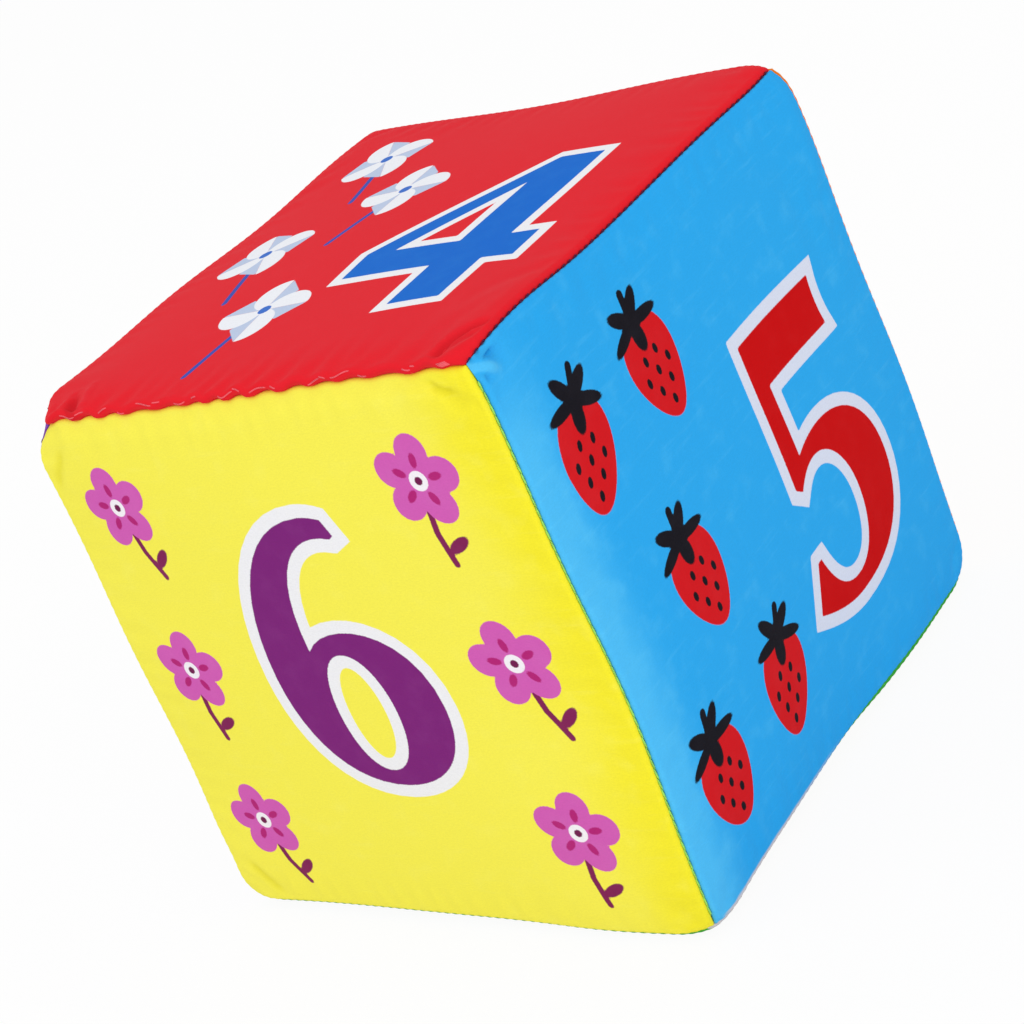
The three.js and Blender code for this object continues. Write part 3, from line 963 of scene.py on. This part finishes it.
def make_cover():
    """The six panels of the cover. The floor keeps the lowest one flat."""
    grid = grid_places(CELLS)
    swells = simulated_swell({name: shaped(on_face(face, grid, HALF)) for name, face in FACES.items()})
    swells["green"] = swells["green"] * (1, 1, 0)
    for name, face in FACES.items():
        made = panel(name, swells[name])
        dress(made, f"panel_{name}_{face.number}", cloth_material(name, **CLOTHS[name]))


# Threads.
THREAD_SIDES = 8
THREAD_END = 0.6
STITCH_STEPS = 5


def threads_object(name, paths, radius):
    """One object of many short threads with rounded ends, along paths of like length."""
    paths = np.array(paths)
    ahead = unit(np.gradient(paths, axis=1))
    side = unit(np.cross(ahead, (0.31, 0.52, 0.79)))
    other = np.cross(ahead, side)
    angles = np.arange(THREAD_SIDES)[:, None] * math.tau / THREAD_SIDES
    circle = np.cos(angles) * side[:, :, None] + np.sin(angles) * other[:, :, None]
    width = np.full((paths.shape[1], 1, 1), radius)
    width[[0, -1]] *= THREAD_END
    points = paths[:, :, None] + circle * width + (0, 0, HALF)
    index = np.arange(points.size // 3).reshape(points.shape[:3])
    ends = index[:, 0, ::-1].tolist() + index[:, -1].tolist()
    return mesh_object(name, points.reshape(-1, 3), ends + tube_quads(index).tolist())


def machine_stitches(key, row):
    """Paths of the stitches in a seam's groove."""
    first, second, along = seam_axes(key)
    across, out = (first - second) / ROOT_TWO, (first + second) / ROOT_TWO
    steps = np.linspace(-1, 1, STITCH_STEPS)[:, None]
    stitch = steps * (row.reach * across + row.run * along) + out * (row.lift - row.dip * steps**2)
    numbers = np.arange(-row.before, row.after + 1)[:, None]
    return [base + stitch for base in shaped(SEAM * (first + second) + STITCH_PITCH * numbers * along)]


def thread_material(name, colour):
    """Twisted polyester thread: fine slanted strands, their light sides a painted highlight and their dark
    sides left plain.
    """
    shader = Shader(bpy.data.materials.new(f"thread_{name}"))
    place = shader.place()
    wave = shader.node("TexWave", place, bands_direction="DIAGONAL", Scale=1400, Distortion=1.5)
    strand = wave.outputs[1]
    tone = shader.noise(place, 900, 2.0)
    base = shader.mix(shader.ramp(tone, 0.35, 0.65), tinted(colour, 0.16, 0), colour)
    lit = shader.mix(shader.ramp(strand, 0.4, 0.9, 0.0, 0.7), base, tinted(colour, 0.10, 255))
    shader.set("Base Color", lit)
    shader.set("Roughness", shader.ramp(tone, 0.3, 0.7, 0.75, 0.90))
    shader.set("Specular IOR Level", 0.2)
    shader.bump(strand, 0.5, 0.05)
    return shader.owner


# A row of stitches has a colour, a lift out of the groove, a reach across and a run along the groove to
# either side, a dip at each stitch's ends, a radius, and how many stitches lie before and after the middle.
PLAIN_ROW = [0.14, 0.46, 0.5, 0.25, 0.19, 25, 25]
Row = namedtuple("Row", "colour lift reach run dip radius before after", defaults=PLAIN_ROW)
MAROON_SHADE, LEAF, MOSS = (70, 14, 58), (158, 226, 98), (78, 150, 84)
WINE, PLUM, RUST = (132, 24, 36), (92, 44, 104), (150, 74, 30)
ROWS = {
    # The red and blue seam's maroon stitches are real, but their dark colour and near-continuous run also
    # paint the shade in its groove.
    "red_blue": Row(MAROON_SHADE, 0.42, 0.14, 0.62, 0.16, 0.13, 27, 26),
    "red_orange": Row(WINE, 0.16),
    "red_purple": Row(WINE, 0.16),
    "yellow_blue": Row(LEAF, 0.41, 0.04, 0.95, 0.05, 0.135),
    "blue_orange": Row(RUST),
    "orange_purple": Row(PLUM),
    "purple_yellow": Row(PLUM),
    "green_yellow": Row(MOSS),
    "green_blue": Row(MOSS),
    "green_orange": Row(MOSS),
    "green_purple": Row(PLUM),
}


def make_machine_seams():
    """The rows of machine stitches in the grooves."""
    names = {row.colour: key for key, row in ROWS.items()}
    materials = {colour: thread_material(key, colour) for colour, key in names.items()}
    for key, row in ROWS.items():
        made = threads_object(f"stitches_{key}", machine_stitches(key, row), row.radius)
        dress(made, f"seam_thread_{key}", materials[row.colour])


CLOSING_RADIUS = 0.11
CLOSING_COLOUR = (238, 90, 102)
CLOSING_FIRST, CLOSING_LAST = -6, 6
CLOSING_STEPS = 9
KNOT_PLACE = HALF - 5.5
KNOT_LENGTH = 2.0
KNOT_STEP = 0.2
KNOT_STRANDS = 4


def lap_point(x, turn, proud):
    """A point standing proud of the red lap's rolled edge, turned down from its top by an angle."""
    out, up = math.sin(turn), math.cos(turn)
    sharp = np.array([[x, -(FLAT + FOLD * out), HALF - FOLD + FOLD * up]])
    return (shaped(sharp) + closing_detail("red", sharp))[0] + np.multiply(proud, (0, -out, up))


def lap_stitch(middle, length, turn, slope):
    """A stitch along the rolled edge, turned further down at one end, that dives into it at both."""
    steps = np.linspace(-1, 1, CLOSING_STEPS)
    turns = np.radians(turn + slope * steps)
    return [lap_point(middle + s * length / 2, a, 0.06 - 0.22 * s**4) for s, a in zip(steps, turns)]


def make_closing_seam():
    """Hand stitches that show as thin strands on the rolled red edge, with a knot at one end."""
    paths = []
    for k in range(CLOSING_FIRST, CLOSING_LAST + 1):
        middle = (k + 0.25 * math.sin(2.3 * k)) * CLOSING_PITCH
        length = 2.7 + 1.6 * math.sin(1.9 * k + 0.5)
        turn = 78 + 20 * math.sin(2.7 * k)
        paths.append(lap_stitch(middle, length, turn, 14 * math.sin(1.3 * k)))
        if k % 3 == 0:
            paths.append(lap_stitch(middle + 0.7 * length, 0.5 * length, turn - 16, 12))
    for k in range(KNOT_STRANDS):
        paths.append(lap_stitch(KNOT_PLACE + KNOT_STEP * k, KNOT_LENGTH, 72 + 14 * k, 2))
    made = threads_object("closing_stitches", paths, CLOSING_RADIUS)
    dress(made, "closing_seam_thread", thread_material("closing", CLOSING_COLOUR))


# What is inside the cover.
FOAM_VOXEL = 1.3
FOAM_INSET = 1.8
FOAM_GRAIN = 0.12


def foam_material():
    """Open-cell foam: small round pores in cream cell walls, the pores painted darker as painted shade."""
    shader = Shader(bpy.data.materials.new("open_cell_foam"))
    place = shader.place()
    cells = shader.node("TexVoronoi", place, Scale=950)
    pores = shader.ramp(cells.outputs["Distance"], 0.15, 0.55)
    tone = shader.noise(place, 60, 3.0)
    wall = shader.mix(shader.ramp(tone, 0.35, 0.65), (244, 240, 224), (236, 229, 206))
    # Painted shade: the pores are darker than the walls; they also dent the bump.
    shader.set("Base Color", shader.mix(pores, (198, 188, 160), wall))
    shader.set("Roughness", shader.ramp(tone, 0.3, 0.7, 0.85, 0.97))
    shader.bump(pores, 0.8, 0.3)
    return shader.owner


def make_foam(node, name, material):
    """A foam piece with soft edges and a grainy cut surface, inside the drawn-in cover."""
    made = placed(name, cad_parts[node].data.copy())
    made.data.name = name
    made.data.materials.clear()
    remesh = made.modifiers.new("cells", "REMESH")
    remesh.mode = "VOXEL"
    remesh.voxel_size = FOAM_VOXEL * MM
    soften = made.modifiers.new("soften", "SMOOTH")
    soften.factor = 0.5
    soften.iterations = 3
    mesh = bpy.data.meshes.new_from_object(made.evaluated_get(bpy.context.evaluated_depsgraph_get()))
    made.modifiers.clear()
    made.data = mesh
    middle = (0, 0, HALF)
    points = shaped((mesh_points(mesh) / MM - middle) * (1 - FOAM_INSET / HALF))
    x, y, z = np.moveaxis(points / FOAM_VOXEL, -1, 0)
    grain = np.sin(2.1 * x + 1.3 * z) * np.sin(1.7 * y + 0.6 * x) + np.sin(2.6 * z - 1.1 * y)
    points += FOAM_GRAIN * grain[:, None] * unit(points)
    mesh.vertices.foreach_set("co", ((points + middle) * MM).ravel())
    mesh.shade_smooth()
    mesh.update()
    dress(made, node, material)


def plastic_material(name, colour, roughness):
    """Moulded plastic: faint flow marks and a slightly uneven gloss."""
    shader = Shader(bpy.data.materials.new(f"moulded_plastic_{name}"))
    place = shader.place()
    flow = shader.noise(shader.stretched(place, (90, 90, 420)), 1.0, 3.0)
    pits = shader.noise(place, 1600, 2.0)
    shader.set("Base Color", shader.mix(shader.ramp(flow, 0.4, 0.7), colour, tinted(colour, 0.03, 0)))
    shader.set("Roughness", shader.ramp(pits, 0.35, 0.65, roughness - 0.06, roughness + 0.06))
    shader.bump(pits, 0.12, 0.05)
    return shader.owner


# The rattle is turned from profiles of radius and height, within the boxes of its CAD nodes.
CUP_SIDES = 96
BEAD_SIDES = 48
ROUND_STEPS = 5
SUPPORT = 0.2
CAPSULE_WALL = 1.5
CUP_ROUND = 2.5
LID_ROUND = 0.75
EDGE_ROUND = 0.3
CAPSULE_GAP = 0.3


def rounded(corners):
    """A profile with its square corners rounded, each by its own radius, and held by points beside it."""
    turn = np.linspace(0, math.pi / 2, ROUND_STEPS + 1)[:, None]
    path = []
    for i, (radius, height, size) in enumerate(corners):
        here = np.array([radius, height])
        if not size:
            path.append(here)
            continue
        into, onward = unit(here - corners[i - 1][:2]), unit(corners[i + 1][:2] - here)
        bend = here - size * (into * (1 - np.sin(turn)) - onward * (1 - np.cos(turn)))
        path += [bend[0] - SUPPORT * into, *bend, bend[-1] + SUPPORT * onward]
    return np.array(path)


def turned_solid(name, profile, middle, sides):
    """A closed solid turned from a profile that starts and ends on the axis."""
    angles = np.arange(sides) * math.tau / sides
    circle = np.stack([np.cos(angles), np.sin(angles), np.zeros(sides)], axis=-1)
    axis = np.array([0, 0, 1])
    rings = [radius * circle + height * axis for radius, height in profile[1:-1]]
    points = np.concatenate([[profile[0][1] * axis], *rings, [profile[-1][1] * axis]]) + middle
    index = 1 + np.arange(len(rings) * sides).reshape(-1, sides)
    ahead = np.roll(index, -1, axis=1)
    first = [(0, b, a) for a, b in zip(index[0].tolist(), ahead[0].tolist())]
    last = [(a, b, len(points) - 1) for a, b in zip(index[-1].tolist(), ahead[-1].tolist())]
    return mesh_object(name, points, tube_quads(index).tolist() + first + last)


def node_box(node):
    """The low and the high corner of a CAD node, in millimetres."""
    return np.array(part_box(node)) / MM


def make_capsule():
    """The rattle's cup and the lid that plugs into it."""
    low, high = node_box("rattle_cup")
    lid_low, lid_high = node_box("rattle_lid")
    radius, rim = (high[0] - low[0]) / 2, high[2]
    bore, floor = radius - CAPSULE_WALL, low[2] + CAPSULE_WALL
    cup = [
        (0, low[2], 0), (radius, low[2], CUP_ROUND), (radius, rim, EDGE_ROUND), (bore, rim, EDGE_ROUND),
        (bore, floor, EDGE_ROUND), (0, floor, 0),
    ]
    skirt, under = bore - CAPSULE_GAP, rim + CAPSULE_GAP
    throat = skirt - CAPSULE_WALL
    lid = [
        (0, under, 0), (throat, under, EDGE_ROUND), (throat, lid_low[2], EDGE_ROUND),
        (skirt, lid_low[2], EDGE_ROUND), (skirt, under, EDGE_ROUND), (radius, under, EDGE_ROUND),
        (radius, lid_high[2], LID_ROUND), (0, lid_high[2], 0),
    ]
    pieces = [("cup", cup, (245, 245, 240), "capsule_white"), ("lid", lid, (94, 181, 232), "capsule_blue")]
    for name, corners, colour, slot in pieces:
        made = turned_solid(f"turned_{name}", rounded(corners), (0, 0, 0), CUP_SIDES)
        dress(made, f"rattle_{name}", plastic_material(name, colour, 0.42))


def make_beads():
    """The five beads, each riding on its own body."""
    material = plastic_material("bead", (232, 84, 61), 0.22)
    turns = np.linspace(0, math.pi, BEAD_SIDES // 2 + 1)
    for k in range(1, 6):
        low, high = node_box(f"rattle_bead_{k}")
        radius = (high - low).min() / 2
        profile = np.stack([radius * np.sin(turns), -radius * np.cos(turns)], axis=-1)
        made = turned_solid(f"round_bead_{k}", profile, (low + high) / 2, BEAD_SIDES)
        dress(made, f"rattle_bead_{k}", material, f"bead_{k}")


def make_inside():
    """The foam core and the rattle in it."""
    foam = foam_material()
    make_foam("foam_block", "foam_core", foam)
    make_foam("foam_plug", "foam_core_plug", foam)
    make_capsule()
    make_beads()


make_cover()
make_machine_seams()
make_closing_seam()
make_inside()

# The stage: a pale floor, soft light and the camera at the photograph's viewing angle.
LENS = 87.0
SENSOR = 36.0
CAMERA_PLACE = (Vector((2.733, -2.821, 1.651)) * 2 * SEAM + Vector((0, 0, HALF))) * MM
CAMERA_FORWARD = Vector((-0.6431, 0.6571, -0.3931))
CAMERA_UP = Vector((0.0407, 0.5420, 0.8394))


def make_camera():
    data = bpy.data.cameras.new("camera")
    data.lens = LENS
    data.sensor_width = SENSOR
    camera = placed("camera", data)
    forward = CAMERA_FORWARD.normalized()
    right = forward.cross(CAMERA_UP).normalized()
    turn = Matrix((right, right.cross(forward), -forward)).transposed()
    camera.matrix_world = Matrix.Translation(CAMERA_PLACE) @ turn.to_4x4()
    bpy.context.scene.camera = camera


def seen_directly(shader):
    """1 for rays that come from the camera, or by way of glossy or clear surfaces."""
    path = shader.node("LightPath").outputs
    total = path["Is Camera Ray"]
    for name in ("Is Glossy Ray", "Is Transmission Ray"):
        total = shader.math("MAXIMUM", total, path[name])
    return total


FLOOR_REACH = 6000.0
FLOOR_DROP = 0.2
FLOOR_GLOW = 0.94
WORLD_LIGHT = 0.72


def make_floor():
    corners = np.array([(-1, -1, -1), (1, -1, -1), (1, 1, -1), (-1, 1, -1)])
    points = corners * (FLOOR_REACH, FLOOR_REACH, FLOOR_DROP)
    floor = mesh_object("floor", points, [(0, 1, 2, 3)])
    shader = Shader(bpy.data.materials.new("pale_floor"))
    shader.set("Base Color", (0.86, 0.86, 0.86, 1))
    shader.set("Roughness", 0.9)
    shader.set("Specular IOR Level", 0.0)
    nodes = shader.tree.nodes
    glow = shader.node("Emission", (1, 1, 1, 1), 1.0)
    share = shader.times(seen_directly(shader), FLOOR_GLOW)
    both = shader.node("MixShader", share, nodes["Principled BSDF"].outputs[0], glow.outputs[0])
    shader.feed(nodes["Material Output"].inputs["Surface"], both.outputs[0])
    floor.data.materials.append(shader.owner)


def make_world():
    shader = Shader(bpy.data.worlds.new("studio"))
    background = shader.tree.nodes["Background"].inputs
    shader.feed(background["Color"], (1, 1, 1, 1))
    strength = shader.node("MapRange", seen_directly(shader), 0.0, 1.0, WORLD_LIGHT, 1.0)
    shader.feed(background["Strength"], strength.outputs[0])
    bpy.context.scene.world = shader.owner


def area_light(name, place, size, power):
    """A soft square lamp that faces the dice, with its place and size in metres."""
    data = bpy.data.lights.new(name, "AREA")
    data.size = size
    data.energy = power
    lamp = placed(name, data)
    lamp.location = place
    aim = Vector((0, 0, HALF * MM)) - Vector(place)
    lamp.rotation_euler = aim.to_track_quat("-Z", "Y").to_euler()


make_camera()
make_floor()
make_world()
area_light("key", (0.85, -0.50, 0.40), 0.7, 3.5)
area_light("fill", (-0.45, -0.80, 0.75), 0.7, 1.6)
area_light("top", (-0.35, -0.05, 1.0), 0.9, 1.7)
bpy.context.scene.view_settings.view_transform = "Standard"
